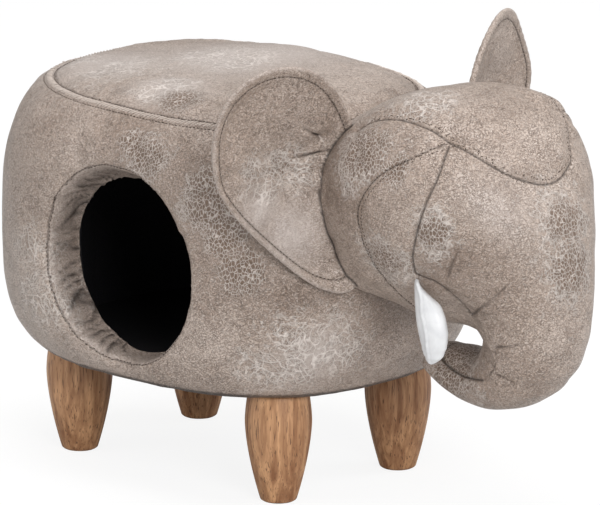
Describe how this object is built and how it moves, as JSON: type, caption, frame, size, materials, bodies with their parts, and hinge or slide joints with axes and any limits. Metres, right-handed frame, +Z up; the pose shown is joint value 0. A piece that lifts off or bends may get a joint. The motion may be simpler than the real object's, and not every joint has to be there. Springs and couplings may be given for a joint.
{
  "type": "elephant storage pouf",
  "caption": "Elephant-shaped padded pouf on turned wooden legs: a round cave mouth in the flank opens into a lined storage hollow, and a stuffed head carries trunk, tusks and sprung ears.",
  "frame": {"origin": "on the floor, under the middle of the part's box", "axes": "+X forward to the trunk, +Y to the elephant's left, -Y the flank with the cave mouth, +Z up"},
  "size_m": [0.659, 0.4318, 0.4459],
  "materials": {
    "taupe_leatherette": "distressed, softly shining",
    "black_lining": "matt non-woven",
    "turned_wood": "satin varnish",
    "plywood": "raw",
    "foam": "open cells",
    "fibre_filling": "loose fibre",
    "white_leatherette": "smooth",
    "zinc_steel": "zinc plated"
  },
  "bodies": {
    "pouf": {"seat_cover": "taupe_leatherette", "side_cover": "taupe_leatherette", "mouth_collar": "taupe_leatherette", "crown_panel": "taupe_leatherette", "chin_panel": "taupe_leatherette", "right_cheek_panel": "taupe_leatherette", "left_cheek_panel": "taupe_leatherette", "trunk_front_panel": "taupe_leatherette", "trunk_underside_panel": "taupe_leatherette", "trunk_tip": "taupe_leatherette", "cave_lining": "black_lining", "cave_floor_pad": "black_lining", "cave_ceiling": "black_lining", "dust_cover": "black_lining", "front_right_leg": "turned_wood", "front_left_leg": "turned_wood", "rear_right_leg": "turned_wood", "rear_left_leg": "turned_wood", "base_board": "plywood", "seat_board": "plywood", "right_wall": "plywood", "left_wall": "plywood", "front_post": "plywood", "rear_post": "plywood", "right_side_foam": "foam", "left_side_foam": "foam", "seat_foam": "foam", "head_filling": "fibre_filling", "trunk_filling": "fibre_filling", "right_tusk": "white_leatherette", "left_tusk": "white_leatherette", "front_right_leg_bolt": "zinc_steel", "front_left_leg_bolt": "zinc_steel", "rear_right_leg_bolt": "zinc_steel", "rear_left_leg_bolt": "zinc_steel", "front_right_tee_nut": "zinc_steel", "front_left_tee_nut": "zinc_steel", "rear_right_tee_nut": "zinc_steel", "rear_left_tee_nut": "zinc_steel"},
    "right_ear": {"right_ear_front": "taupe_leatherette", "right_ear_pad": "foam", "right_ear_back": "taupe_leatherette"},
    "left_ear": {"left_ear_front": "taupe_leatherette", "left_ear_pad": "foam", "left_ear_back": "taupe_leatherette"}
  },
  "joints": [
    {"name": "right_ear_swing", "type": "hinge", "parent": "pouf", "child": "right_ear", "pos_m": [0.107, -0.05923, 0.22853], "axis": [0, -0.1434, 0.9897], "range_deg": [0, 25], "stiffness_Nm_per_rad": 0.6},
    {"name": "left_ear_swing", "type": "hinge", "parent": "pouf", "child": "left_ear", "pos_m": [0.107, 0.05923, 0.22853], "axis": [0, -0.1434, -0.9897], "range_deg": [0, 25], "stiffness_Nm_per_rad": 0.6}
  ]
}
